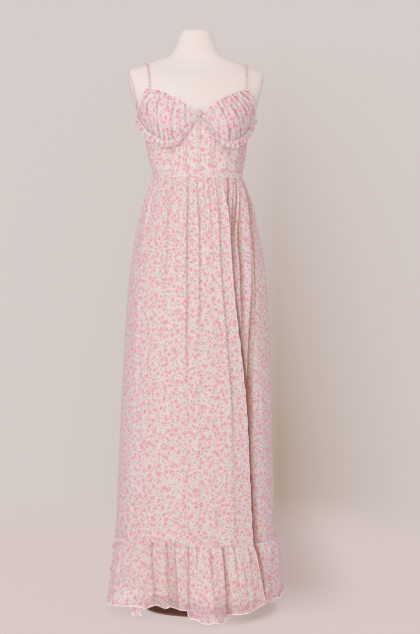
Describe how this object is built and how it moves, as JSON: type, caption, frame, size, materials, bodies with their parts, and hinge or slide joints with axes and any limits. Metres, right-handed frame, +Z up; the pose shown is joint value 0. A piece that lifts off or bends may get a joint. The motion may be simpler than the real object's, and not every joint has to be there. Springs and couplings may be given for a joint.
{
  "type": "chiffon maxi dress on a limbless dress form",
  "caption": "Long printed chiffon sun dress with gathered cups, a fitted midriff, a slit skirt and a hem flounce, worn by a standing limbless dress form",
  "frame": {"origin": "middle of the underside of the stand's base plate, on the floor", "axes": "+Z up along the pole, -Y out of the dress's front, +X towards the wearer's left"},
  "size_m": [0.4983, 0.4742, 1.575],
  "materials": {
    "chiffon": "matt printed chiffon",
    "lining": "plain satin lining",
    "form_cover": "smooth ivory jersey",
    "stand": "satin paint"
  },
  "bodies": {
    "root": {"cup_left": "chiffon", "cup_right": "chiffon", "cup_ruffle_left": "chiffon", "cup_ruffle_right": "chiffon", "ruffle_tuft": "chiffon", "midriff_front": "chiffon", "back_bodice": "chiffon", "channel_centre": "chiffon", "channel_inner_left": "chiffon", "channel_inner_right": "chiffon", "channel_outer_left": "chiffon", "channel_outer_right": "chiffon", "waistband": "chiffon", "strap_left": "chiffon", "strap_right": "chiffon", "skirt_front": "chiffon", "skirt_back": "chiffon", "flounce_front": "chiffon", "flounce_back": "chiffon", "skirt_lining": "lining", "form_torso": "form_cover", "form_arm_plate_left": "form_cover", "form_arm_plate_right": "form_cover", "form_pole": "stand", "form_base": "stand"}
  },
  "joints": []
}
